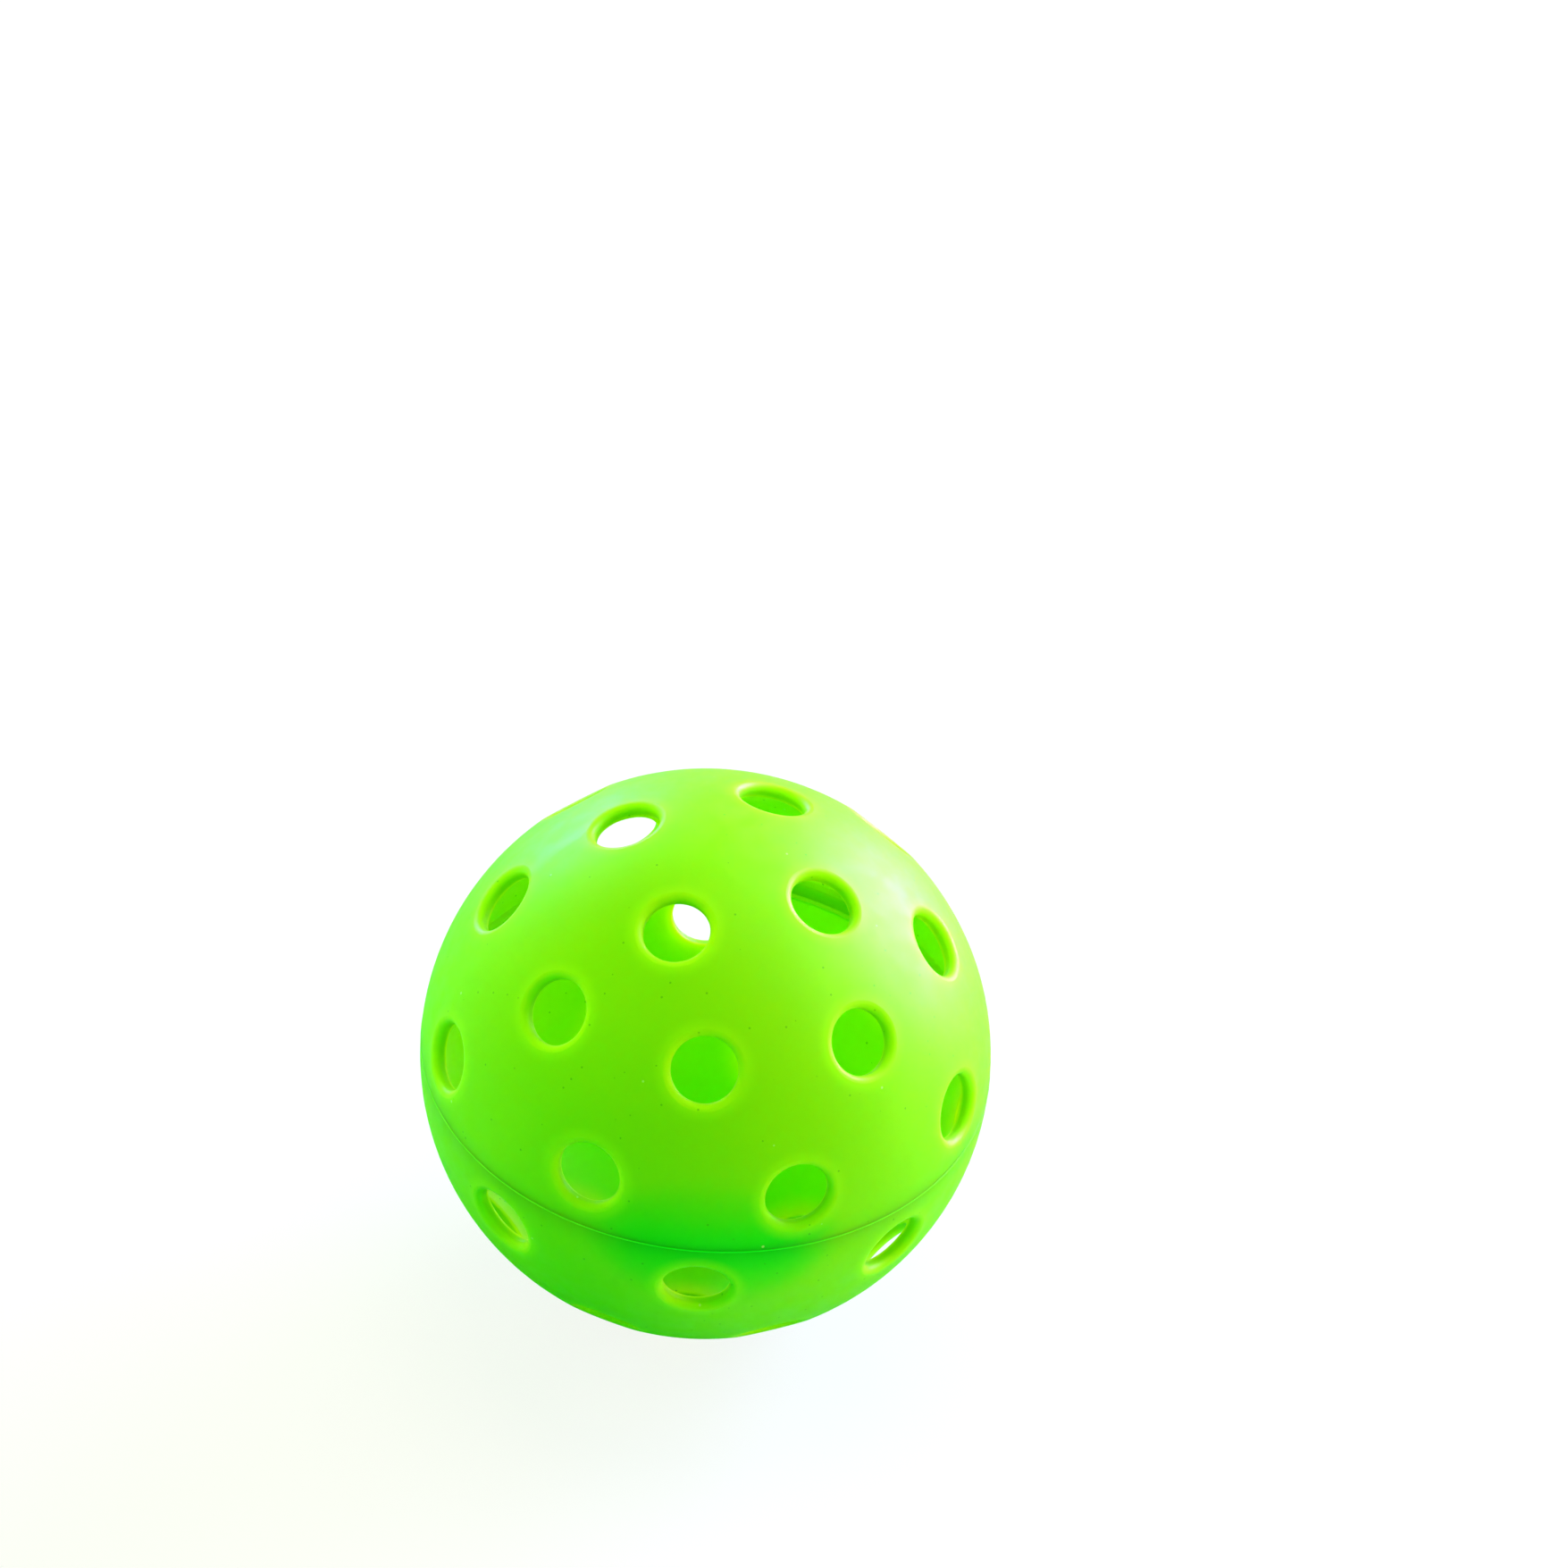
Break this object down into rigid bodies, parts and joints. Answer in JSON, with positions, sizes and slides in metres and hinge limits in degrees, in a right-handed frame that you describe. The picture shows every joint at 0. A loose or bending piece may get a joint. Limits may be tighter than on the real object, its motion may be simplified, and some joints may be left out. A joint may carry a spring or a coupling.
{
  "type": "pickleball ball",
  "caption": "Hollow perforated hard-plastic ball of bright lime green, made of moulded half shells with rows of round holes, lap-jointed and welded around the equator.",
  "frame": {"origin": "centre of the ball", "axes": "+Z along the pole axis that the rows of holes run around, from the lower half to the upper half; the welded seam lies in the XY plane; +X lies ten degrees clockwise, seen from above, of the azimuth of one hole of the upper middle row"},
  "size_m": [0.074, 0.074, 0.074],
  "materials": {
    "shell_plastic": "satin, slightly translucent moulded polyethylene in neon lime green",
    "weld_plastic": "the same lime green plastic, fused and a little darker"
  },
  "bodies": {
    "root": {"upper_half_shell": "shell_plastic", "lower_half_shell": "shell_plastic", "weld_seam": "weld_plastic"}
  },
  "joints": []
}
